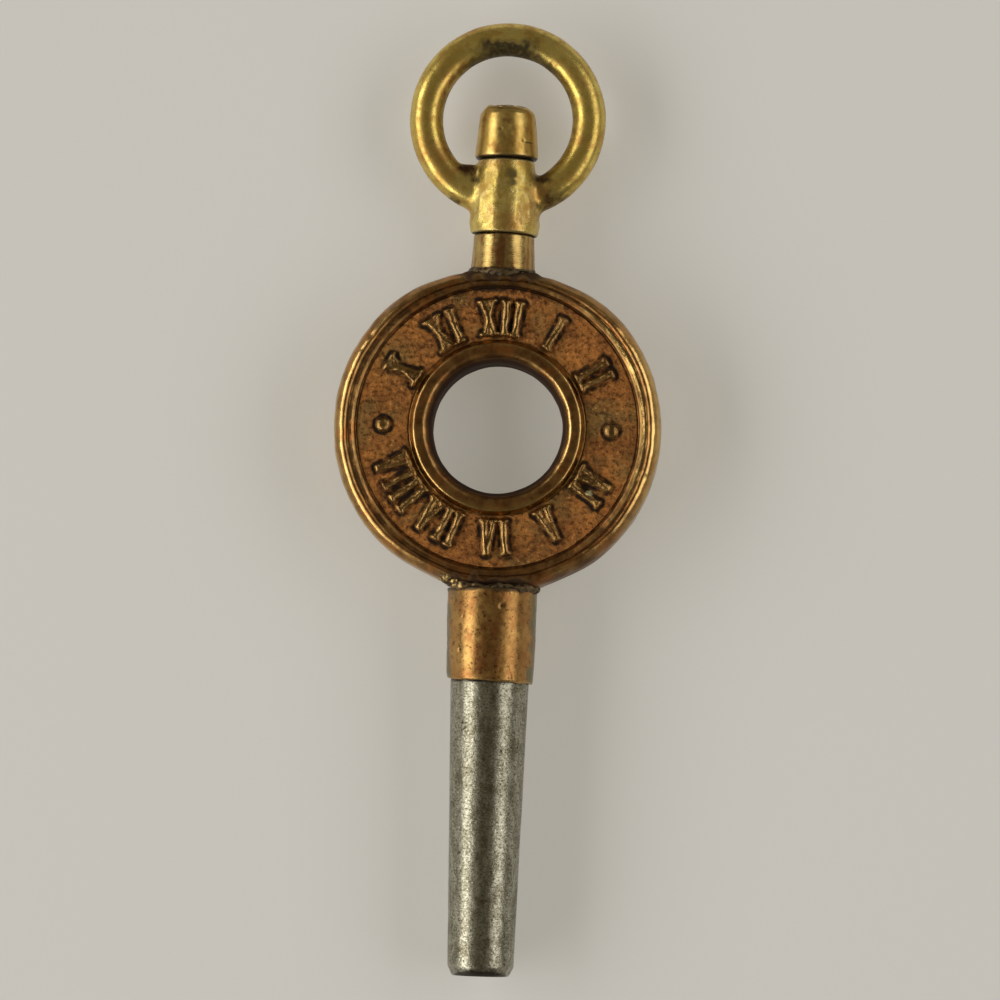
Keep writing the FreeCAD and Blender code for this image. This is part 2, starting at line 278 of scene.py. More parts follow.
def make_piece(name, points, faces, marks, material, body, slot, node):
    """An object from millimetre points, on a body, with wear marks and faces turned outward."""
    mesh = bpy.data.meshes.new(name)
    mesh.from_pydata((points * MM).tolist(), [], faces)
    mesh.polygons.foreach_set("use_smooth", np.ones(len(faces), bool))
    shell = bmesh.new()
    shell.from_mesh(mesh)
    bmesh.ops.recalc_face_normals(shell, faces=shell.faces)
    shell.to_mesh(mesh)
    shell.free()
    add_wear(mesh)
    for mark_name, values in marks.items():
        mark(mesh, mark_name, values)
    mesh.materials.append(material)
    piece = add_object(name, mesh)
    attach(piece, body)
    if node:
        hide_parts(node)


def surface_net(distance, low, high, step):
    """Points and faces where distance(points) is zero, on a grid from low to high."""
    axes = [np.arange(a, b + step, step) for a, b in zip(low, high)]
    nodes = np.stack(np.meshgrid(*axes, indexing="ij"), axis=-1)
    value = distance(nodes)
    inside = value < 0
    shape = np.array(value.shape) - 1
    total = np.zeros((*shape, 3))
    hits = np.zeros(shape)
    crossings = []
    for axis in range(3):
        where = np.argwhere(np.diff(inside, axis=axis))
        ahead = where + np.eye(3, dtype=int)[axis]
        a, b = value[tuple(where.T)], value[tuple(ahead.T)]
        place = where.astype(float)
        place[:, axis] += a / (a - b)
        sides = [k for k in range(3) if k != axis]
        fits = ((where[:, sides] > 0) & (where[:, sides] < shape[sides])).all(axis=1)
        where, place = where[fits], place[fits]
        cells = []
        for shift in ((1, 1), (0, 1), (0, 0), (1, 0)):
            cell = where.copy()
            cell[:, sides] -= shift
            cells.append(cell)
            np.add.at(total, tuple(cell.T), place)
            np.add.at(hits, tuple(cell.T), 1)
        crossings.append(cells)
    used = hits > 0
    number = np.full(shape, -1)
    number[used] = np.arange(used.sum())
    points = np.array(low) + total[used] / hits[used][:, None] * step
    faces = [np.stack([number[tuple(cell.T)] for cell in cells], axis=1) for cells in crossings]
    nudge = step * 0.2
    for _ in range(2):
        rises = [distance(points + side) - distance(points - side) for side in nudge * np.eye(3)]
        slope = np.stack(rises, axis=1) / (2 * nudge)
        points = points - slope * (distance(points) / (slope**2).sum(axis=1).clip(0.2))[:, None]
    return points, np.concatenate(faces).tolist()


# Node materials


class Finish:
    """A finish under construction. Its methods add nodes, which build up its colour and its normal."""

    def __init__(self, name, specular):
        self.material = bpy.data.materials.new(name)
        self.material.use_nodes = True
        self.nodes = self.material.node_tree.nodes
        self.links = self.material.node_tree.links
        self.shader = self.nodes["Principled BSDF"]
        self.dress(Specular_IOR_Level=specular)
        self.object_place = self.nodes.new("ShaderNodeTexCoord").outputs["Object"]
        self.colour = None
        self.normal = None

    def put(self, socket, value):
        """Links an output socket, or sets a plain value."""
        if isinstance(value, bpy.types.NodeSocket):
            self.links.new(value, socket)
        elif isinstance(value, tuple) and len(value) == 3 and socket.type == "RGBA":
            socket.default_value = (*value, 1)
        else:
            socket.default_value = value

    def dress(self, **sockets):
        """Fills the shader's sockets, named with _ for a space."""
        for name, value in sockets.items():
            self.put(self.shader.inputs[name.replace("_", " ")], value)
        return self.material

    def add(self, kind, inputs, **settings):
        """A new node of a kind, with its inputs and settings."""
        node = self.nodes.new("ShaderNode" + kind)
        for name, value in settings.items():
            setattr(node, name, value)
        for socket, value in inputs.items():
            self.put(node.inputs[socket], value)
        return node

    def place(self, stretch=(1, 1, 1)):
        """Object coordinates in millimetres, squeezed along the axes by stretch."""
        scale = [s / MM for s in stretch]
        return self.add("Mapping", {"Vector": self.object_place, "Scale": scale}).outputs["Vector"]

    def noise(self, per_mm, detail=5, stretch=(1, 1, 1), rough=0.55, distort=0.0):
        """Cloudy noise of about 0 to 1, with per_mm clouds to a millimetre."""
        inputs = {"Vector": self.place(stretch), "Scale": per_mm, "Detail": detail}
        inputs.update({"Roughness": rough, "Distortion": distort})
        return self.add("TexNoise", inputs).outputs["Fac"]

    def mark(self, name):
        """A vertex mark, by name."""
        return self.add("Attribute", {}, attribute_name=name).outputs["Fac"]

    def fit(self, value, low, high, to_low=0.0, to_high=1.0):
        """value moved smoothly from the range low to high into another range."""
        inputs = {"Value": value, "From Min": low, "From Max": high, "To Min": to_low, "To Max": to_high}
        return self.add("MapRange", inputs, interpolation_type="SMOOTHSTEP").outputs["Result"]

    def calc(self, operation, a, b):
        """A clamped arithmetic step, such as MULTIPLY or ADD."""
        return self.add("Math", {0: a, 1: b}, operation=operation, use_clamp=True).outputs[0]

    def mix(self, below, above, share):
        """Colour above laid over colour below."""
        return self.add("Mix", {"Factor": share, 6: below, 7: above}, data_type="RGBA").outputs[2]

    def start(self, dark, light, value, low=0.35, high=0.65):
        """Begins the colour: dark where value is at low, and light where it is at high."""
        self.colour = self.mix(dark, light, self.fit(value, low, high))

    def lay(self, colour, share):
        """Lays a colour over the colour so far."""
        self.colour = self.mix(self.colour, colour, share)

    def patch(self, colour, value, low, high, share):
        """Lays a colour over the colour so far: none where value is at low, and share where it is at high."""
        self.lay(colour, self.fit(value, low, high, 0.0, share))

    def rub(self, colour, share):
        """Lays a colour along the sharp edges."""
        self.lay(colour, self.calc("MULTIPLY", self.mark("edge"), share))

    def bump(self, height, depth):
        """Adds shading relief, where height 0 to 1 is depth millimetres."""
        inputs = {"Strength": 1.0, "Distance": depth * MM, "Height": height}
        if self.normal is not None:
            inputs["Normal"] = self.normal
        self.normal = self.add("Bump", inputs).outputs["Normal"]

    def finish(self, rough, metal):
        """Joins the finished colour, normal and gloss to the surface."""
        return self.dress(Base_Color=self.colour, Roughness=rough, Metallic=metal, Normal=self.normal)


# Dark colours of dirt, also laid as painted shade and painted shadows
BLACK_DIRT_AND_SHADE = (0.018, 0.012, 0.008)
BROWN_DIRT_AND_SHADE = (0.07, 0.035, 0.015)
FLOOR_SURFACE = {"Base_Color": (0.49, 0.505, 0.54), "Roughness": 0.75}
FLOOR_GLOW = {"Emission_Color": (1.0, 0.935, 0.785), "Emission_Strength": 0.27}


def struck_gilt():
    """Coppery gilt brass: grainy and dirty in the struck field, with painted shadows round the letters,
    smooth and browner elsewhere, with painted highlights on the rim.
    """
    f = Finish("struck_gilt_brass", 0.15)
    on_field, letters, worn = f.mark("field"), f.mark("relief"), f.mark("worn")
    clouds = f.noise(1.3, detail=6, rough=0.65)
    grain = f.noise(5.0, detail=6, rough=0.72)

    f.start((0.25, 0.10, 0.032), (0.47, 0.19, 0.05), clouds, 0.38, 0.64)
    olive = f.fit(f.noise(0.45, detail=4), 0.5, 0.7, 0.0, 0.7)
    f.lay((0.20, 0.14, 0.05), f.calc("MAXIMUM", f.mark("olive"), olive))
    f.patch((0.05, 0.024, 0.011), grain, 0.48, 0.62, 0.74)
    # Bright orange grain specks, partly painted glints
    f.patch((0.70, 0.36, 0.1), grain, 0.42, 0.34, 0.68)
    rough_field = f.colour

    f.start((0.21, 0.10, 0.036), (0.41, 0.22, 0.075), clouds, 0.36, 0.66)
    f.patch((0.46, 0.17, 0.045), f.noise(0.9, detail=6, rough=0.65, distort=0.4), 0.5, 0.62, 0.65)
    f.patch((0.13, 0.06, 0.022), f.noise(4.0, rough=0.7), 0.52, 0.66, 0.55)
    # Rubbed brass, and painted highlights along the rim's lines on the left and right sides
    f.lay((0.74, 0.51, 0.18), f.calc("MULTIPLY", worn, f.fit(clouds, 0.35, 0.6, 0.55, 1.0)))

    f.lay(rough_field, on_field)
    tops = f.mix((0.20, 0.12, 0.046), (0.42, 0.25, 0.085), f.fit(f.noise(2.2, detail=4), 0.38, 0.62))
    f.lay(tops, f.calc("MULTIPLY", letters, 0.85))
    f.rub((0.62, 0.42, 0.16), f.fit(clouds, 0.4, 0.6, 0.1, 0.4))
    # Dirt, and painted shade: shadows round the letters and shade along the field's top edge
    patchy = f.fit(f.noise(2.0, rough=0.65), 0.36, 0.56, 0.25, 1.0)
    dirt = f.calc("MULTIPLY", f.mark("dirt"), patchy)
    f.patch(BROWN_DIRT_AND_SHADE, dirt, 0.05, 0.5, 0.85)
    f.patch(BLACK_DIRT_AND_SHADE, dirt, 0.35, 0.8, 0.95)
    # Soot, and painted shade on the hole's wall and the rim's lower right flank
    soot = f.mark("soot")
    f.lay((0.03, 0.015, 0.009), soot)
    f.lay((0.75, 0.72, 0.42), f.mark("fleck"))

    dull = f.calc("MAXIMUM", dirt, soot)
    rough = f.fit(worn, 0.0, 0.8, 0.34, 0.18)
    rough = f.calc("SUBTRACT", rough, f.calc("MULTIPLY", letters, 0.14))
    rough = f.calc("ADD", rough, f.fit(dull, 0.3, 0.9, 0.0, 0.4))
    metal = f.fit(dull, 0.3, 0.9, 1.0, 0.05)
    grainy = f.calc("SUBTRACT", f.fit(on_field, 0, 1, 0.12, 1.0), f.calc("MULTIPLY", letters, 0.85))
    f.bump(f.calc("MULTIPLY", f.noise(5.0, detail=6, rough=0.68), grainy), 0.11)
    f.bump(f.noise(2.0, detail=3), 0.02)
    return f.finish(rough, metal)


def turned_gilt():
    """Gilt brass of the stem, with the fine lines of the lathe."""
    f = Finish("turned_gilt_brass", 0.2)
    f.start((0.38, 0.25, 0.085), (0.54, 0.38, 0.13), f.noise(1.1, detail=4))
    f.patch((0.28, 0.11, 0.04), f.noise(2.0, detail=4, stretch=(1.6, 0.3, 1.6)), 0.46, 0.62, 0.85)
    f.rub((0.66, 0.5, 0.22), 0.5)
    f.lay(BLACK_DIRT_AND_SHADE, f.calc("MAXIMUM", f.mark("soot"), f.mark("crevice")))
    lines = {"Vector": f.place(), "Scale": 3.2, "Distortion": 0.8, "Detail": 2}
    f.bump(f.add("TexWave", lines, bands_direction="Y").outputs["Fac"], 0.004)
    f.bump(f.noise(2.5, detail=3, stretch=(1, 2, 1)), 0.0025)
    rough = f.fit(f.noise(6.0, detail=4), 0.35, 0.7, 0.22, 0.36)
    return f.finish(rough, f.fit(f.mark("soot"), 0.3, 0.9, 0.92, 0.3))


def ferrule_gilt():
    """Orange gilt sleeve, mottled with copper where the gilding has gone."""
    f = Finish("ferrule_gilt_brass", 0.2)
    f.start((0.36, 0.19, 0.06), (0.48, 0.28, 0.09), f.noise(0.9))
    mottle = f.noise(2.0, detail=6, rough=0.62, stretch=(1.2, 0.7, 1.2))
    f.patch((0.34, 0.13, 0.045), mottle, 0.46, 0.64, 0.7)
    f.patch((0.10, 0.04, 0.016), f.noise(5.5, detail=6, rough=0.72), 0.55, 0.63, 0.85)
    # Painted reflection of the pale floor along the sleeve's left and right sides
    f.lay((0.19, 0.17, 0.085), f.mark("olive"))
    f.rub((0.56, 0.36, 0.13), 0.45)
    f.lay(BLACK_DIRT_AND_SHADE, f.mark("soot"))
    f.bump(f.noise(1.2, detail=2), 0.004)
    f.bump(f.noise(5.0, detail=6, rough=0.7), 0.008)
    rough = f.fit(f.noise(4.0, detail=4), 0.35, 0.7, 0.25, 0.4)
    return f.finish(rough, f.fit(f.mark("soot"), 0.3, 0.9, 0.92, 0.3))


def cast_brass():
    """Yellow brass of the bow, with brown tarnish, dirt in the hollows, and painted shade inside the ring."""
    f = Finish("cast_yellow_brass", 0.15)
    f.start((0.58, 0.42, 0.10), (0.76, 0.59, 0.17), f.noise(0.7))
    tarnish = f.noise(1.6, detail=8, rough=0.72)
    f.patch((0.42, 0.24, 0.055), tarnish, 0.46, 0.62, 0.7)
    f.patch((0.46, 0.22, 0.06), f.noise(0.55, rough=0.6), 0.48, 0.64, 0.6)
    # Dirt in the crotches, and painted shade on the ring's inner side
    dirt = f.mark("dirt")
    f.lay((0.075, 0.04, 0.016), f.calc("MULTIPLY", dirt, f.fit(tarnish, 0.35, 0.6, 0.6, 1.0)))
    f.rub((0.84, 0.70, 0.30), 0.5)
    # Soot, and painted shade at the top inside the ring
    thin = f.fit(f.noise(6.0, detail=6, rough=0.7), 0.45, 0.65, 1.0, 0.88)
    soot = f.calc("MULTIPLY", f.mark("soot"), thin)
    f.lay((0.024, 0.018, 0.011), soot)
    scuffed = f.mark("scuffed")
    scratches = f.noise(5.0, rough=0.75, stretch=(1, 0.6, 1))
    pale = f.calc("MULTIPLY", scuffed, f.fit(scratches, 0.5, 0.62, 0.0, 0.35))
    f.lay((0.86, 0.76, 0.38), f.calc("SUBTRACT", pale, soot))
    f.bump(f.noise(1.3, detail=3), 0.004)
    f.bump(f.noise(5.0, detail=6, rough=0.7), 0.006)
    f.bump(f.calc("MULTIPLY", scratches, scuffed), 0.022)
    dull = f.fit(f.calc("MAXIMUM", dirt, soot), 0.2, 1.0, 0.0, 0.15)
    rough = f.calc("ADD", f.fit(tarnish, 0.35, 0.65, 0.22, 0.40), dull)
    return f.finish(rough, f.fit(soot, 0.3, 0.9, 0.82, 0.1))


def cap_brass():
    """Brass of the riveted cap, with a copper tint and a few scratches."""
    f = Finish("cap_brass", 0.2)
    f.start((0.50, 0.32, 0.08), (0.66, 0.46, 0.14), f.noise(0.9, detail=4))
    f.patch((0.34, 0.16, 0.045), f.noise(2.1), 0.52, 0.72, 0.75)
    f.rub((0.74, 0.57, 0.25), 0.4)
    f.lay(BLACK_DIRT_AND_SHADE, f.mark("soot"))
    f.bump(f.noise(2.0, detail=3), 0.002)
    f.bump(f.noise(6.0, stretch=(1, 2, 1)), 0.003)
    rough = f.fit(f.noise(5.0), 0.35, 0.7, 0.28, 0.4)
    return f.finish(rough, f.fit(f.mark("soot"), 0.3, 0.9, 0.9, 0.3))


def pitted_steel():
    """Grey steel, drawn along its length and finely pitted."""
    f = Finish("pitted_steel", 0.2)
    drawn = f.noise(2.2, detail=6, stretch=(1.6, 0.5, 1.6))
    f.start((0.26, 0.245, 0.18), (0.44, 0.425, 0.34), drawn)
    f.patch((0.15, 0.13, 0.08), f.noise(1.3, detail=6), 0.48, 0.7, 0.75)
    pits = f.noise(10.5, stretch=(0.9, 1.1, 0.9), rough=0.78)
    f.patch((0.085, 0.075, 0.045), pits, 0.505, 0.59, 0.85)
    f.patch((0.66, 0.64, 0.54), pits, 0.42, 0.36, 0.8)
    f.rub((0.62, 0.6, 0.52), 0.45)
    rust = f.fit(f.noise(3.6), 0.62, 0.72, 0.0, 0.85)
    f.lay((0.03, 0.024, 0.016), rust)
    # Soot, and a crescent of painted shade at the tip's mouth
    f.lay((0.02, 0.015, 0.012), f.mark("soot"))
    f.bump(f.noise(8.0, detail=6, stretch=(1.2, 0.8, 1.2), rough=0.7), 0.009)
    metal = f.fit(f.calc("MAXIMUM", f.mark("soot"), rust), 0.2, 1.0, 0.95, 0.4)
    return f.finish(f.fit(pits, 0.4, 0.7, 0.27, 0.42), metal)


def old_solder():
    """Dull, dirty solder and flux left at the joints, with golden crumbs where soot is low."""
    f = Finish("old_solder", 0.3)
    lumps = f.noise(4.0)
    soot = f.mark("soot")
    f.start((0.05, 0.03, 0.018), (0.72, 0.50, 0.18), lumps, 0.46, 0.6)
    f.lay(f.mix((0.03, 0.02, 0.013), (0.16, 0.105, 0.055), f.fit(lumps, 0.47, 0.67)), soot)
    f.rub((0.34, 0.23, 0.1), 0.3)
    f.bump(f.noise(6.0), 0.012)
    metal = f.calc("SUBTRACT", f.fit(lumps, 0.4, 0.6, 0.5, 1.0), f.calc("MULTIPLY", soot, 0.3))
    return f.finish(f.fit(lumps, 0.4, 0.7, 0.5, 0.3), metal)


def pale_floor():
    """Matt pale card, lit a little from behind."""
    return Finish("pale_floor", 0.5).dress(**FLOOR_SURFACE, **FLOOR_GLOW)


# The struck disc

DEGREES_PER_HOUR = 30
UPRIGHT_HOURS = {10: "X", 11: "XI", 12: "XII", 1: "I", 2: "II"}
INVERTED_HOURS = {4: "IV", 5: "V", 6: "VI", 7: "VII", 8: "VIII"}
THICK, THIN = 0.28, 0.2
SERIF_THICK, SERIF_OVERHANG = 0.13, 0.07
SERIF_WIDTH = THICK + 2 * SERIF_OVERHANG
LETTER_WIDTHS = {"I": SERIF_WIDTH, "V": 0.84, "X": 0.84}
LETTER_GAP = 0.08
LETTER_ROUNDING = 0.055
LETTER_BLEND = 0.1
LEAN = (LETTER_WIDTHS["V"] - LETTER_WIDTHS["I"]) / 2
TOP = NUMERAL_TALL
# Each letter's strokes by foot, head and width, and its serifs by centre and outer edge
LETTERS = {
    "I": ([(0, 0, THICK)], [(0, 0), (0, TOP)]),
    "V": ([(0, -LEAN, THICK), (0, LEAN, THIN)], [(-LEAN, TOP), (LEAN, TOP)]),
    "X": ([(LEAN, -LEAN, THICK), (-LEAN, LEAN, THIN)], [(-LEAN, TOP), (LEAN, TOP), (-LEAN, 0), (LEAN, 0)]),
}


def stroke(across, up, foot, head, width, low=0.0, high=NUMERAL_TALL):
    """Distance outside a straight stroke with level, rounded ends, from foot to head across."""
    rise = (up - low) / (high - low)
    slant = math.cos(math.atan2(head - foot, high - low))
    side = np.abs(across - foot - (head - foot) * rise) * slant - width / 2 + LETTER_ROUNDING
    end = np.abs(up - (low + high) / 2) - (high - low) / 2 + LETTER_ROUNDING
    outside = np.hypot(np.maximum(side, 0), np.maximum(end, 0))
    return outside + np.minimum(np.maximum(side, end), 0) - LETTER_ROUNDING


def letter_distance(letter, across, up):
    """Distance outside a numeral's letter, from its own foot centre."""
    near = np.full(across.shape, FAR)
    strokes, serifs = LETTERS[letter]
    for foot, head, width in strokes:
        near = blend(near, stroke(across, up, foot, head, width), LETTER_BLEND)
    for centre, edge in serifs:
        low = edge if edge == 0 else edge - SERIF_THICK
        serif = stroke(across, up, centre, centre, SERIF_WIDTH, low, low + SERIF_THICK)
        near = blend(near, serif, LETTER_BLEND)
    return near


def numeral_distance(x, y):
    """Distance outside the nearest letter of the ring of hour numerals."""
    near = np.full(x.shape, FAR)
    middle = NUMERAL_FOOT + NUMERAL_TALL / 2
    for hours, inverted in ((UPRIGHT_HOURS, False), (INVERTED_HOURS, True)):
        for hour, letters in hours.items():
            widths = [LETTER_WIDTHS[letter] for letter in letters]
            along = -(sum(widths) + LETTER_GAP * (len(letters) - 1)) / 2
            for letter, width in zip(letters, widths):
                arc = math.degrees((along + width / 2) / middle)
                hour_angle = -DEGREES_PER_HOUR * hour
                turn = math.radians(hour_angle + 180 + arc if inverted else hour_angle - arc)
                across = x * math.cos(turn) + y * math.sin(turn)
                up = -x * math.sin(turn) + y * math.cos(turn)
                up = up + NUMERAL_FOOT + NUMERAL_TALL if inverted else up - NUMERAL_FOOT
                near = np.minimum(near, letter_distance(letter, across, up))
                along += width + LETTER_GAP
    return near


# Marks on the front face of the disc: place and radius
HOLE_BURR = ((2.62, 0.9, 1.4), 0.14)
PALE_FLECK = ((3.94, -2.6, 1.3), 0.17)
OLIVE_PATCH = ((-4.35, 2.85, 1.3), 0.75)
RIM_NICKS = [((-5.45, 3.75, 1.5), 0.16), ((-2.25, 5.3, 1.3), 0.2), ((6.2, -2.0, 1.45), 0.22)]

# Half of the disc's section, from the middle of the hole's wall out to the middle of the rim
DISC_SECTION = [
    (HOLE_RADIUS, 0),
    *around(HOLE_RADIUS, HOLE_LAND, (0, 0), (0.02, 0.22)),
    *around(HOLE_RADIUS, HEAD_HALF, (0.09, -0.29), (0.22, -0.12)),
    *around(BAND_INNER, HEAD_HALF, (0.02, -0.04), (0.07, -0.01), (0.13, 0)),
    *around(BAND_OUTER, HEAD_HALF, (-0.03, 0), (0.04, -0.03)),
    *around(FIELD_INNER, FIELD_HEIGHT, (0, -0.02), (0.08, 0)),
    *around(FIELD_OUTER, FIELD_HEIGHT, (-0.08, 0), (0, -0.02), (0.06, 0.09)),
    *around(BEAD_OUTER, BEAD_HEIGHT, (-0.03, 0.06), (0.01, 0.03), (0.08, 0.13)),
    *around(CREST_INNER, HEAD_HALF, (-0.11, -0.01), (-0.05, 0)),
    *around(CREST_OUTER, HEAD_HALF, (0.01, -0.07)),
    *around(HEAD_RADIUS, HEAD_HALF, (-0.16, -0.19), (-0.06, -0.34), (0, -0.56)),
    (HEAD_RADIUS, 0),
]

# Lines rubbed bright on the disc, many of them painted highlights on the left and right, where the side
# lights catch the rim: radius, width, angle of the middle, spread in degrees and share
RUBBED_AND_HIGHLIT_LINES = [
    (CREST_OUTER - 0.01, 0.06, 180, 50, 1.0),
    (CREST_OUTER - 0.04, 0.07, 5, 55, 0.9),
    (HEAD_RADIUS, 0.1, 190, 60, 0.8),
    (HEAD_RADIUS, 0.24, 8, 42, 0.8),
    (BEAD_OUTER - 0.08, 0.12, 16, 40, 1.0),
    (BAND_OUTER + 0.12, 0.12, 0, 999, 0.62),
    (BEAD_OUTER + 0.04, 0.02, 185, 55, 0.8),
    (BEAD_INNER + 0.03, 0.02, 185, 55, 0.8),
    (BAND_INNER + 0.05, 0.04, 8, 42, 1.0),
    (BAND_OUTER - 0.02, 0.03, 8, 42, 0.7),
    (BAND_INNER + 0.08, 0.03, 185, 50, 0.5),
    (BAND_OUTER + 0.02, 0.04, 205, 38, 0.8),
    (BAND_OUTER - 0.05, 0.07, 270, 45, 0.5),
    (CREST_OUTER + 0.02, 0.16, 90, 40, 0.4),
    (BEAD_OUTER + 0.12, 0.14, 180, 50, 0.2),
]
# Painted shade on the rim's lower right flank, and painted shade along the field's top edge: angle and spread
# in degrees
SHADED_FLANK = (302, 24)
SHADED_FIELD_EDGE = (92, 24)
# The rim filed back beside its joints: angle and spread in degrees, depth, and radius of the seat
FILED_SHOULDERS = [
    (70, 15, 0.19, NECK_BOTTOM_RADIUS),
    (110, 11, 0.15, NECK_BOTTOM_RADIUS),
    (245, 13, 0.13, TANG_RADIUS + 0.5),
    (296, 9, 0.08, TANG_RADIUS + 0.5),
]
# Points of the disc's mesh: how many round it, and how far apart on its front, back, rim and walls
DISC_COLUMNS = 440
FRONT_STEP, BACK_STEP, RIM_STEP, WALL_STEP = 0.045, 0.08, 0.028, 0.16
DISC_SOFTNESS = 0.022
# Rounding of the rim's corners at the joints, and the hollow round each character
JOINT_BLEND = 0.12
MOAT_WIDTH, MOAT_DEPTH = 0.08, 0.04


def disc_spacing(place):
    """Wanted distance between points at each (radius, height) of the disc's section."""
    r, z = place[:, 0], place[:, 1]
    step = np.where(z > 0, FRONT_STEP, BACK_STEP)
    at_rim = (r > FIELD_OUTER - 0.05) & (z > HEAD_HALF - 0.6)
    step = np.where(at_rim, RIM_STEP, step)
    wall = (r < BAND_INNER) | (r > CREST_OUTER)
    return np.where(wall & (np.abs(z) < HEAD_HALF - 0.6), WALL_STEP, step)


def rim_limit(turn, direction):
    """Radius of the rim at each turn in degrees, cut level at the joints and filed back beside them."""
    limit = np.full(len(turn), HEAD_RADIUS)
    up = direction[:, 1] > 0.1
    down = direction[:, 1] < -0.1
    limit[up] = blend(limit[up], NECK_SEAT / direction[up, 1], JOINT_BLEND)
    limit[down] = blend(limit[down], FERRULE_SEAT / direction[down, 1], JOINT_BLEND)
    for angle, spread, depth, seat in FILED_SHOULDERS:
        clear = ease(seat, seat + 0.4, np.abs(HEAD_RADIUS * direction[:, 0]))
        limit -= depth * clear * ridge(turn, angle, spread)
    return limit


def rubbing_and_highlights(radius, turn):
    """How bright each point of the disc is rubbed, with painted highlights, from 0 to 1."""
    worn = np.zeros(radius.shape)
    for where, width, middle, spread, share in RUBBED_AND_HIGHLIT_LINES:
        away = (turn - middle + 180) % 360 - 180
        worn = np.maximum(worn, share * ridge(radius, where, width) * ridge(away, 0, spread))
    return worn


def head_disc():
    """The disc, struck alike on both faces, with a blunt step to the neck and the ferrule."""
    outline = DISC_SECTION + [(r, -z) for r, z in reversed(DISC_SECTION[1:-1])]
    ring = spaced(outline, DISC_SOFTNESS, disc_spacing, closed=True)
    angles = np.arange(DISC_COLUMNS) * (2 * math.pi / DISC_COLUMNS)
    turn = np.degrees(angles)
    radius = ring[:, :1] * np.ones(DISC_COLUMNS)
    z = ring[:, 1:] * np.ones(DISC_COLUMNS)
    direction = np.stack([np.cos(angles), np.sin(angles)], axis=-1)
    squeeze = (rim_limit(turn, direction) - FIELD_OUTER) / (HEAD_RADIUS - FIELD_OUTER)
    r = np.where(radius > FIELD_OUTER, FIELD_OUTER + (radius - FIELD_OUTER) * squeeze, radius)
    x, y = r * direction[:, 0], r * direction[:, 1]
    points = np.stack([x, y, z], axis=-1)

    # On the back face the design is the same, turned about the Y axis
    side = np.sign(z)
    wander = 0.012 * ripples(points, 0.8, 3)
    design = numeral_distance(x * side + wander, y + 0.012 * ripples(points, 0.8, 4)) - 0.025
    on_field = ease(FIELD_INNER - 0.02, FIELD_INNER + 0.08, r) * ease(FIELD_OUTER, FIELD_OUTER - 0.1, r)
    weak = 0.88 + 0.12 * ripples(points, 2.4, 5)
    inside = np.clip((0.03 - design) / 0.17, 0, 1)
    raised = (1 - (1 - inside) ** 2) * weak
    lift = NUMERAL_RELIEF * raised
    off_pellets = np.minimum(np.hypot(x - PELLET_PLACE, y), np.hypot(x + PELLET_PLACE, y))
    ball = np.sqrt(np.clip(1 - (off_pellets / PELLET_RADIUS) ** 2, 0, 1))
    lift = np.maximum(lift, ball * NUMERAL_RELIEF * 1.1)
    moat = ridge(np.minimum(design, off_pellets - PELLET_RADIUS), 0.05, MOAT_WIDTH)
    moat = moat * np.clip(0.9 + 0.35 * ripples(points, 0.5, 11), 0.3, 1)
    lift = (lift - MOAT_DEPTH * moat) * on_field
    flat = ease(HEAD_HALF * 0.6, HEAD_HALF * 0.75, np.abs(z))
    uneven = 0.012 * ripples(points, 0.9, 6) + on_field * 0.009 * ripples(points, 0.28, 7)
    uneven = uneven + 0.02 * inside * on_field * ripples(points, 0.42, 10)
    for place, size in RIM_NICKS:
        uneven = uneven - 0.07 * spot(points, place, size)
    points[..., 2] += side * flat * (lift + uneven)
    sway = 0.018 * ripples(points, 3.0, 8) + 0.007 * ripples(points, 0.6, 9)
    inner = ease(BAND_OUTER, HOLE_RADIUS, r)
    outer = ease(BEAD_INNER, CREST_OUTER, r) * ease(0.9, 0.99, squeeze)
    points[..., :2] -= ((outer + 0.8 * inner) * np.abs(sway))[..., None] * direction

    joint = ease(5.95, 6.4, np.abs(y) + 0.15 * ripples(points, 0.6, 12)) * ease(2.4, 1.3, np.abs(x))
    # Painted shade on the rim's lower right flank
    shaded_flank = ridge(turn, *SHADED_FLANK) * ease(CREST_OUTER - 0.02, CREST_OUTER + 0.12, radius)
    # Soot from the burr and the joints, and soot with painted shade on the hole's wall
    soot = most(
        spot(points, *HOLE_BURR),
        0.93 * joint,
        0.95 * ease(BAND_INNER, HOLE_RADIUS + 0.12, r),
        shaded_flank * (0.6 + 0.08 * ripples(points, 0.7, 13)),
    )
    # Dark ring round each letter: dirt in the hollow, and painted shadow
    dirt_and_shadow_round_letters = on_field * np.maximum(moat, 0.35 * ridge(design, -0.02, 0.05))
    # Darker along the bead on the left side
    left_bead = ridge(radius, (BEAD_INNER + BEAD_OUTER) / 2, 0.07) * ease(-0.1, -0.7, direction[:, 0])
    # Dirt in the grooves, the painted shadows round the letters, and painted shade along the field's top edge
    dirt = most(
        dirt_and_shadow_round_letters * (0.45 + 0.55 * ease(FIELD_INNER + 0.05, NUMERAL_FOOT + 0.1, radius)),
        0.22 * ridge(radius, FIELD_INNER, 0.05),
        0.45 * ridge(radius, FIELD_OUTER + 0.01, 0.05),
        0.6 * ridge(radius, BEAD_OUTER + 0.02, 0.035),
        0.5 * left_bead,
        0.75 * ridge(turn, *SHADED_FIELD_EDGE) * ridge(radius, FIELD_OUTER - 0.05, 0.2),
    )
    marks = {
        "field": on_field,
        "relief": np.maximum(raised, ball) * on_field,
        "dirt": dirt * flat,
        "worn": rubbing_and_highlights(radius, turn),
        "olive": 0.8 * spot(points, *OLIVE_PATCH),
        "soot": soot,
        "fleck": ease(0.35, 0.5, spot(points, *PALE_FLECK)),
    }
    return *skin(points, looped=True), marks


# The turned pieces


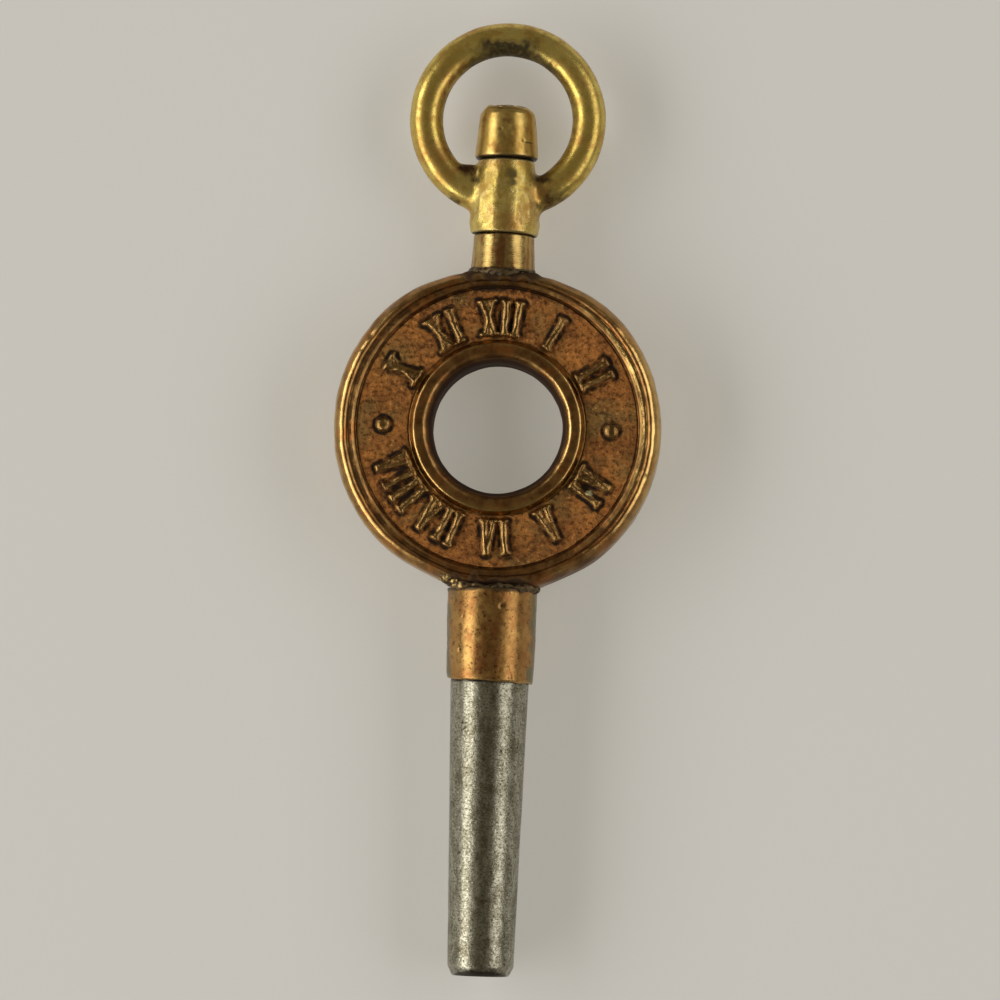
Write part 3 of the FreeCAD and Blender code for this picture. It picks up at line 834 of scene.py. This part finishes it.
def turned(outline, softness, step, columns, looped):
    """A grid of points from turning an outline of (radius, y) corners about the Y axis."""
    profile = spaced(outline, softness, lambda place: np.full(len(place), step), closed=looped)
    angles = np.arange(columns) * (2 * math.pi / columns)
    across = profile[:, :1]
    along = profile[:, 1:] * np.ones(columns)
    return np.stack([across * np.cos(angles), along, across * np.sin(angles)], axis=-1)


def off_axis(points):
    """Distance from the key's long axis."""
    return np.hypot(points[..., 0], points[..., 2])


def push_out(points, amount):
    """Moves points away from the key's long axis by amount."""
    radius = off_axis(points).clip(1e-6)
    factor = (radius + amount) / radius
    points[..., 0] *= factor
    points[..., 2] *= factor


def stem():
    """Neck, tenon in the disc, and the post that carries the bow, riveted over at its end."""
    neck_top = NECK_SEAT + NECK_LENGTH
    post = POST_RADIUS - 0.01
    outline = [
        (0.02, stem_low[1]),
        (TENON_RADIUS - 0.01, stem_low[1]),
        (TENON_RADIUS - 0.01, NECK_SEAT),
        *around(NECK_BOTTOM_RADIUS, NECK_SEAT, (0, 0), (-0.035, 0.16)),
        (NECK_TOP_RADIUS + 0.035, NECK_SEAT + 0.66),
        *around(NECK_TOP_RADIUS, neck_top, (0, -0.35), (0, -0.15), (-0.04, -0.045), (-0.16, 0)),
        (post, neck_top),
        (post, RIVET_SEAT),
        *around(RIVET_EDGE, CAP_TOP, (-0.02, -0.13), (-0.08, -0.07)),
        (0.55, CAP_TOP - 0.015),
        (0.02, CAP_TOP),
    ]
    points = turned(outline, softness=0.02, step=0.05, columns=160, looped=False)
    y = points[..., 1]
    on_neck = ease(NECK_TOP_RADIUS - 0.15, NECK_TOP_RADIUS - 0.05, off_axis(points))
    turning = 0.004 * np.sin(y * (2 * math.pi / 0.14))
    push_out(points, on_neck * (turning + 0.005 * ripples(points, 1.1, 21)))
    on_rivet = ease(CAP_TOP - 0.12, CAP_TOP - 0.06, y)
    y -= on_rivet * 0.035 * np.abs(ripples(points, 0.6, 22))
    dirty = ease(NECK_SEAT + 0.22, NECK_SEAT + 0.04, y)
    soot = on_neck * dirty * (0.35 + 0.6 * ease(-0.2, 0.8, points[..., 0]))
    soot = most(soot, on_neck * ease(neck_top - 0.07, neck_top, y))
    return *skin(points, looped=False), {"soot": np.append(soot, [0, 0])}


CAP_PEAK = (-0.75, 13.5, 0.6)
CAP_PITS = [((-0.25, 12.55, 1.22), 0.05), ((-0.1, 12.35, 1.25), 0.04), ((0.7, 12.1, 1.05), 0.06)]
SCRATCH_PLACE = (0.95, 12.02, 0.87)


def cap():
    """The tapered cap that keeps the bow on, hammered a little out of true at its end."""
    taper = [(-0.035, 0.5), (-0.1, 1.26), (-0.14, 1.63), (-0.19, 1.9), (-0.26, 2.05)]
    outline = [
        (POST_RADIUS, CAP_SEAT),
        *around(CAP_RADIUS, CAP_SEAT, (-0.09, 0), (-0.01, 0.12), *taper),
        *around(RIVET_EDGE, CAP_TOP, (0.05, -0.13), (0, -0.14)),
        (POST_RADIUS, RIVET_SEAT - 0.01),
    ]
    points = turned(outline, softness=0.02, step=0.045, columns=160, looped=True)
    y = points[..., 1]
    on_side = ease(1.0, 1.1, off_axis(points))
    uneven = 0.006 * ripples(points, 1.2, 31) + 0.0015 * ripples(points, 0.35, 32)
    for place, radius in CAP_PITS:
        uneven = uneven - 0.03 * spot(points, place, radius)
    push_out(points, on_side * uneven)
    on_end = ease(CAP_TOP - 0.5, CAP_TOP - 0.2, y)
    dents = 0.03 * np.abs(ripples(points, 0.8, 33))
    y += on_end * (0.10 * spot(points, CAP_PEAK, 0.3) - dents)
    off_scratch = np.abs(y - SCRATCH_PLACE[1] - 0.02 * ripples(points, 0.5, 34))
    near = spot(points * (1, 0, 1), (SCRATCH_PLACE[0], 0, SCRATCH_PLACE[2]), 0.25)
    soot = most(
        ease(CAP_SEAT + 0.12, CAP_SEAT + 0.05, y),
        ease(0.035, 0.01, off_scratch) * ease(0.3, 0.6, near),
        ease(RIVET_EDGE + 0.04, RIVET_EDGE, off_axis(points)),
        *[0.8 * spot(points, place, radius * 0.7) for place, radius in CAP_PITS],
    )
    return *skin(points, looped=True), {"soot": soot}


FERRULE_PITS = [
    ((0.45, -7.45, 1.8), 0.09),
    ((-1.25, -9.3, 1.35), 0.09),
    ((-1.5, -7.25, 1.1), 0.07),
    ((-1.55, -7.4, 1.05), 0.04),
    ((-1.15, -7.9, 1.45), 0.045),
    ((-1.85, -9.0, 0.2), 0.16),
]


def ferrule():
    """The sleeve over the disc's tang and the pipe's end, worn and rolled at its mouth."""
    top = ferrule_high[0]
    outline = [
        (TANG_RADIUS + 0.01, FERRULE_SEAT),
        *around(top, FERRULE_SEAT, (-0.03, 0), (0, -0.05)),
        *around(top - 0.015, FERRULE_SEAT, (0, -0.22), (0, -2.0)),
        *around(FERRULE_MOUTH_RADIUS, FERRULE_MOUTH, (0, 0.3), (-0.02, 0.06), (-0.07, 0)),
        *around(SPIGOT_RADIUS, FERRULE_MOUTH, (0.06, 0.01), (0.01, 0.15)),
        (SPIGOT_RADIUS + 0.01, pipe_high[1] + 0.02),
        (TANG_RADIUS + 0.01, pipe_high[1] + 0.02),
    ]
    points = turned(outline, softness=0.025, step=0.05, columns=200, looped=True)
    y = points[..., 1]
    outside = ease(SPIGOT_RADIUS + 0.05, SPIGOT_RADIUS + 0.15, off_axis(points))
    lip = 0.04 * ease(FERRULE_SEAT - 0.2, FERRULE_SEAT, y) * ease(-0.5, 0.6, points[..., 2])
    uneven = 0.007 * ripples(points, 1.8, 41) + 0.0015 * ripples(points, 0.4, 42)
    pits = sum(spot(points, place, radius) for place, radius in FERRULE_PITS)
    push_out(points, outside * (lip + uneven - 0.012 - 0.05 * pits))
    at_mouth = ease(FERRULE_MOUTH + 0.5, FERRULE_MOUTH, y)
    at_mouth = at_mouth * ease(SPIGOT_RADIUS, SPIGOT_RADIUS + 0.1, off_axis(points))
    skew = -0.05 * points[..., 0] + 0.035 * ripples(points * (1, 0, 1), 1.5, 43)
    y += at_mouth * skew
    edge = FERRULE_SEAT - 0.2 + 0.07 * ripples(points, 0.7, 44)
    soot = most(
        ease(SPIGOT_RADIUS + 0.14, SPIGOT_RADIUS + 0.04, off_axis(points)),
        0.9 * ease(0.3, 0.6, pits),
        0.85 * ease(edge, edge + 0.12, y),
    )
    # Olive left and right sides: a painted reflection of the pale floor where the sleeve turns away
    off_front = np.abs(points[..., 0]) / off_axis(points)
    olive = ease(0.84, 0.97, off_front + 0.05 * ripples(points, 0.9, 45)) * outside
    return *skin(points, looped=True), {"soot": soot, "olive": 0.9 * olive}


TIP_CHIPS = [((-1.3, -22.75, 0.45), 0.3), ((1.3, -22.8, 0.5), 0.2)]


def pipe():
    """The tapered steel pipe, with its square socket open at the worn tip."""
    shoulder = FERRULE_MOUTH
    half = SOCKET_WIDTH / 2
    outline = [
        (0.02, pipe_high[1]),
        (SPIGOT_RADIUS - 0.01, pipe_high[1]),
        (SPIGOT_RADIUS - 0.01, shoulder + 0.2),
        (pipe_high[0], shoulder - 0.04),
        *around(PIPE_TIP_RADIUS, PIPE_TIP, (0.01, 0.38), (-0.18, 0.01), (-0.22, 0)),
        *around(SOCKET_MOUTH_RADIUS, PIPE_TIP, (0.03, 0), (-0.05, 0.06)),
        *around(half, PIPE_TIP, (0.02, 0.5), (0, 0.6), (0, SOCKET_DEPTH)),
        (PILOT_RADIUS - 0.06, PIPE_TIP + SOCKET_DEPTH + 0.1),
        (PILOT_RADIUS - 0.06, PIPE_TIP + PILOT_DEPTH),
        (0.02, PIPE_TIP + PILOT_DEPTH + 0.3),
    ]
    points = turned(outline, softness=0.022, step=0.075, columns=192, looped=False)
    x, y, z = points[..., 0], points[..., 1], points[..., 2]
    radius = off_axis(points).clip(1e-6)
    inside = ease(SOCKET_MOUTH_RADIUS - 0.02, SOCKET_MOUTH_RADIUS - 0.12, radius)
    inside = inside * (y < PIPE_TIP + SOCKET_DEPTH + 0.05)
    flat_side = np.maximum(np.abs(x), np.abs(z)) / radius
    square = np.minimum(1 / flat_side, 1.34)
    push_out(points, inside * ease(PIPE_TIP, PIPE_TIP + 0.4, y) * radius * (square - 1))
    outside = ease(SPIGOT_RADIUS - 0.4, SPIGOT_RADIUS - 0.3, radius)
    uneven = 0.004 * ripples(points * (1, 0.4, 1), 1.2, 51) + 0.0015 * ripples(points, 0.3, 52)
    chips = sum(spot(points, place, size) for place, size in TIP_CHIPS)
    push_out(points, outside * (uneven - 0.006 - 0.12 * chips))
    # A dark crescent of painted shade on the rounded end at the tip's mouth
    lip = PIPE_TIP + 0.27 - 0.19 * (x / 1.15) ** 2
    soot = most(
        ease(SOCKET_MOUTH_RADIUS + 0.02, SOCKET_MOUTH_RADIUS - 0.06, radius) * 0.92,
        0.9 * ease(lip + 0.03, lip - 0.03, y) * ease(1.2, 1.0, np.abs(x)),
        ease(shoulder - 0.1, shoulder - 0.02, y + 0.05 * ripples(points * (1, 0, 1), 0.9, 53)),
        0.5 * ease(0.4, 0.9, chips),
    )
    return *skin(points, looped=False), {"soot": np.append(soot, [1, 1])}


# The bow, one casting of ring and collar

COLLAR_HEIGHTS = [0, 0.5, 3.1]
COLLAR_RADII = [1.4, 1.485, 1.175]
SKIRT_DIP = 0.09
COLLAR_ROUNDING = 0.08
# Flats filed on the collar: degrees round from the front towards +X, tilt up, height, depth of cut and reach
COLLAR_FACETS = [
    (-29, 9, 10.4, 0.035, 0.4),
    (-36, 4.5, 9.2, 0.055, 0.6),
    (-62, 6, 9.4, 0.05, 0.6),
    (-4, 6.5, 10.0, 0.018, 0.8),
    (29, 8, 10.4, 0.03, 0.4),
    (35, 5, 9.2, 0.055, 0.6),
    (84, 6, 8.8, 0.03, 0.4),
    (-92, 7, 8.8, 0.03, 0.4),
    (120, 7, 9.4, 0.04, 0.6),
    (150, 6, 10.4, 0.035, 0.6),
    (178, 7, 9.4, 0.04, 0.9),
    (214, 7, 10.2, 0.035, 0.7),
    (240, 6, 9.0, 0.04, 0.5),
]
WEB_PLACE = (-1.55, 10.78, 0.0)
WEB_HALVES = (0.5, 0.36, 0.42)
BOW_STEP = 0.068


def bow_distance(points):
    """Distance outside the bow, before it is worn."""
    x, y, z = points[..., 0], points[..., 1], points[..., 2]
    ring = np.hypot(np.hypot(x, y - RING_CENTRE) - RING_RADIUS, z) - WIRE_RADIUS
    off = np.hypot(x, z)
    dip = SKIRT_DIP * (0.5 + 0.5 * x / off.clip(0.1)) * ease(1.1, 1.3, off)
    height = y - COLLAR_SEAT + dip
    half = COLLAR_LENGTH / 2
    side = off - np.interp(height, COLLAR_HEIGHTS, COLLAR_RADII)
    for azimuth, tilt, level, depth, reach in COLLAR_FACETS:
        a, e = math.radians(azimuth), math.radians(tilt)
        outward = np.array((math.sin(a) * math.cos(e), math.sin(e), math.cos(a) * math.cos(e)))
        radius = np.interp(level - COLLAR_SEAT, COLLAR_HEIGHTS, COLLAR_RADII) - depth
        middle = np.array((math.sin(a) * radius, level, math.cos(a) * radius))
        past = 0.3 * np.maximum(np.abs(y - level) - reach, 0)
        side = np.maximum(side, (points - middle) @ outward - past)
    end = np.abs(height - half) - half
    edge = COLLAR_ROUNDING
    corner = np.hypot(np.maximum(side + edge, 0), np.maximum(end + edge, 0)) - edge
    collar = np.where((side > -edge) & (end > -edge), corner, np.maximum(side, end))
    whole = blend(ring, collar, 0.36)
    narrowest = min(WEB_HALVES)
    web = np.linalg.norm((points - np.array(WEB_PLACE)) / WEB_HALVES, axis=-1) * narrowest - narrowest
    whole = blend(whole, web, 0.3)
    near_collar = ease(2.3, 1.4, off)
    whole = whole + 0.008 * near_collar * ripples(points, 1.3, 61) + 0.004 * ripples(points, 1.2, 62)
    bore = np.where(y < RING_CENTRE, BORE_RADIUS - off, -FAR)
    return np.maximum(whole, bore)


BOW_SPOTS = [((0.27, 10.65, 1.2), 0.32), ((0.33, 10.35, 1.3), 0.26), ((-1.3, 9.25, 0.8), 0.12)]
BOW_DIRT = [
    ((2.15, 9.5, 0.4), 0.8),
    ((-2.1, 9.7, 0.2), 0.35),
    ((1.55, 10.6, 0.4), 0.5),
    ((-1.65, 10.95, 0.35), 0.5),
    ((-1.3, 10.5, 0.7), 0.25),
    ((1.6, 10.0, 1.0), 0.3),
]


def bow():
    """Ring and collar, with dirt in the crotches, painted shade on the ring's inner side, and a rubbed,
    blackened top inside the ring, part residue and part painted shade.
    """
    margin = 0.2
    points, faces = surface_net(bow_distance, bow_low - margin, bow_high + margin, BOW_STEP)
    x, y = points[:, 0], points[:, 1]
    lower = y < RING_CENTRE
    from_centre = np.hypot(x, y - RING_CENTRE)
    ragged = 0.12 * ripples(points, 0.35, 63)
    cloudy = 0.6 * ragged + 0.13 * ripples(points, 0.8, 64)
    # Blackened top inside the ring: residue, and painted shade where the wire faces down
    rub = ease(RING_RADIUS + 0.14, RING_RADIUS - 0.16, from_centre + cloudy + 0.1 * np.abs(x - 0.05))
    rub = 0.96 * rub * ease(1.9, 0.8, np.abs(x - 0.05) + cloudy) * (y > RING_CENTRE)
    inner_top = ease(RING_RADIUS - 0.4, RING_RADIUS - 0.55, from_centre + 0.4 * ragged)
    inner_top = inner_top * ease(2.4, 1.4, np.abs(x - 0.1)) * (y > RING_CENTRE)
    off = off_axis(points)
    on_collar = lower & (off < COLLAR_RADII[1] + 0.1)
    top = COLLAR_SEAT + COLLAR_LENGTH
    soot = most(
        rub,
        0.85 * inner_top,
        on_collar * ease(COLLAR_SEAT + 0.07, COLLAR_SEAT, y) * ease(1.42, 1.3, off),
        on_collar * ease(top - 0.06, top, y),
        lower * ease(BORE_RADIUS + 0.1, BORE_RADIUS, off),
        *[0.8 * ease(0.3, 0.8, spot(points, place, radius) + ragged) for place, radius in BOW_SPOTS],
    )
    # Painted shade on the ring's inner side
    shaded_inner_side = 0.6 * ease(RING_RADIUS - 0.45, RING_RADIUS - 0.65, from_centre + 0.5 * ragged)
    dirt = most(
        shaded_inner_side * (off > COLLAR_RADII[1]),
        *[ease(0.2, 0.8, spot(points, place, radius) + ragged) for place, radius in BOW_DIRT],
    )
    scuffed = on_collar * ease(COLLAR_RADII[0] + 0.12, COLLAR_RADII[0], off)
    return points, faces, {"soot": soot, "dirt": dirt, "scuffed": scuffed}


# Solder at the joints

# Courses of the solder at the disc's two joints
NECK_SOLDER = [
    (-1.3, 6.55, 0.4),
    (-1.0, 6.53, 0.95),
    (-0.3, 6.52, 1.33),
    (0.4, 6.52, 1.33),
    (1.3, 6.57, 0.35),
]
FERRULE_SOLDER = [
    (-2.3, -6.15, 0.75),
    (-1.8, -6.45, 1.15),
    (-1.2, -6.64, 1.42),
    (0, -6.68, 1.48),
    (1.2, -6.68, 1.44),
    (1.8, -6.64, 0.8),
]
FERRULE_CRUMBS = [
    (-2.15, -6.22, 1.32),
    (-1.75, -6.25, 1.42),
    (-2.05, -6.44, 1.2),
    (-1.5, -6.42, 1.4),
    (-1.8, -6.6, 1.2),
]
FERRULE_LUMP = [(1.45, -6.64, 1.3), (1.85, -6.68, 0.6)]
# An x that all of the key is past, and one that none of it is past
ALL_DIRTY, ALL_GOLDEN = -9, 9
# Name, course, number and size of the lumps, seed, and the x up to which they are golden
SOLDERS = [
    ("solder_at_neck", NECK_SOLDER, 40, 0.14, 71, ALL_DIRTY),
    ("solder_at_ferrule", FERRULE_SOLDER, 60, 0.12, 73, -1.3),
    ("solder_crumbs", FERRULE_CRUMBS, 22, 0.075, 79, ALL_GOLDEN),
    ("solder_lump", FERRULE_LUMP, 7, 0.14, 75, ALL_DIRTY),
]
SOLDER_STEP = 0.03


def solder_run(course, count, size, seed, golden_below):
    """Soft lumps of about size along a course of places, golden up to an x and dirty past it."""
    draw = np.random.default_rng(seed)
    course = np.array(course, float)
    along = np.linspace(0, len(course) - 1, count)
    centres = resample(course, np.arange(len(course)), along)
    centres += draw.normal(0, 0.22 * size, centres.shape)
    radii = size * draw.uniform(0.6, 1.15, count)

    def distance(points):
        near = np.full(points.shape[:-1], FAR)
        for centre, radius in zip(centres, radii):
            near = blend(near, np.linalg.norm(points - centre, axis=-1) - radius, 0.16)
        return near + 0.12 * size * ripples(points, 0.3, seed)

    low, high = course.min(axis=0) - 0.4, course.max(axis=0) + 0.4
    points, faces = surface_net(distance, low, high, SOLDER_STEP)
    ragged = points[:, 0] + 0.25 * ripples(points, 0.4, seed + 1)
    return points, faces, {"soot": ease(golden_below - 0.4, golden_below + 0.2, ragged)}


# Camera, floor and light

CAMERA_PLACE = (6.0, -16.04, 209.0)
CAMERA_TARGET = (0.187, -2.941, 0.0)
CAMERA_ROLL = math.radians(1.76)
CAMERA_CLIP = (0.01, 10)
FRAME_PER_DISTANCE = 1 / 5.0018
FLOOR_HALF = 1.5
FLOOR_CLEARANCE = 0.00002
# Name, azimuth and elevation in degrees, distance and size in metres, radiance and colour
SOFTBOXES = [
    ("left_softbox", 188, 31, 0.4, (0.62, 0.2), 3.1, (1.0, 0.97, 0.9)),
    ("right_softbox", 3, 36, 0.4, (0.5, 0.2), 1.8, (1.0, 0.97, 0.92)),
]
# The room's light by height, from level to straight up
SURROUND = [(0.0, (0.155, 0.15, 0.135)), (0.8, (0.12, 0.1, 0.066))]


def set_up_camera():
    """A camera over the key's tip side, which looks at the photograph's centre."""
    place, target = Vector(CAMERA_PLACE), Vector(CAMERA_TARGET)
    right = Vector((math.cos(CAMERA_ROLL), math.sin(CAMERA_ROLL), 0))
    back = (place - target).normalized()
    side = (right - back * right.dot(back)).normalized()
    turn = Matrix((side, back.cross(side), back)).transposed()
    data = bpy.data.cameras.new("camera")
    data.lens = data.sensor_width / FRAME_PER_DISTANCE
    data.clip_start, data.clip_end = CAMERA_CLIP
    camera = add_object("camera", data)
    camera.matrix_world = Matrix.Translation(place * MM) @ turn.to_4x4()
    bpy.context.scene.camera = camera


def add_softbox(name, azimuth, elevation, distance, size, radiance, colour):
    """A rectangular light that faces the key from a direction, in degrees and metres."""
    data = bpy.data.lights.new(name, "AREA")
    data.shape = "RECTANGLE"
    data.size, data.size_y = size
    data.energy = radiance * math.pi * size[0] * size[1]
    data.color = colour
    light = add_object(name, data)
    a, e = math.radians(azimuth), math.radians(elevation)
    back = Vector((math.cos(a) * math.cos(e), math.sin(a) * math.cos(e), math.sin(e)))
    light.location = back * distance
    light.rotation_mode = "QUATERNION"
    light.rotation_quaternion = back.to_track_quat("Z", "Y")


def set_up_floor():
    """A pale card under the key."""
    z = cad_low[2] - FLOOR_CLEARANCE
    signs = [(-1, -1), (1, -1), (1, 1), (-1, 1)]
    mesh = bpy.data.meshes.new("floor")
    mesh.from_pydata([(FLOOR_HALF * a, FLOOR_HALF * b, z) for a, b in signs], [], [(0, 1, 2, 3)])
    mesh.materials.append(pale_floor())
    floor = add_object("floor", mesh)


def set_up_surround():
    """A dim room: neutral round the horizon, and warmer and darker overhead, where the camera stands."""
    world = bpy.data.worlds.new("surround")
    world.use_nodes = True
    nodes, links = world.node_tree.nodes, world.node_tree.links
    split = nodes.new("ShaderNodeSeparateXYZ")
    links.new(nodes.new("ShaderNodeTexCoord").outputs["Generated"], split.inputs[0])
    ramp = nodes.new("ShaderNodeValToRGB")
    for element, (height, colour) in zip(ramp.color_ramp.elements, SURROUND):
        element.position = height
        element.color = (*colour, 1)
    links.new(split.outputs["Z"], ramp.inputs["Fac"])
    links.new(ramp.outputs["Color"], nodes["Background"].inputs["Color"])
    bpy.context.scene.world = world


# Name, shape, finish, body, slot and node of each piece, other than the solder
PIECES = [
    ("head_disc_struck", head_disc, struck_gilt, "key_body", "gilt_brass", "head_disc"),
    ("stem_turned", stem, turned_gilt, "key_body", "gilt_brass", "stem"),
    ("swivel_cap_riveted", cap, cap_brass, "key_body", "cap_brass", "swivel_cap"),
    ("pipe_ferrule_gilt", ferrule, ferrule_gilt, "key_body", "gilt_brass", "pipe_ferrule"),
    ("pipe_tapered", pipe, pitted_steel, "key_body", "pipe_steel", "pipe"),
    ("bow_cast", bow, cast_brass, "swivel_bow", "bow_brass", "bow"),
]
for name, shape, finish, body, slot, node in PIECES:
    make_piece(name, *shape(), finish(), body, slot, node)
solder = old_solder()
for name, *course in SOLDERS:
    make_piece(name, *solder_run(*course), solder, "key_body", "gilt_brass", None)

set_up_camera()
set_up_floor()
set_up_surround()
for softbox in SOFTBOXES:
    add_softbox(*softbox)
bpy.context.scene.view_settings.view_transform = "Standard"
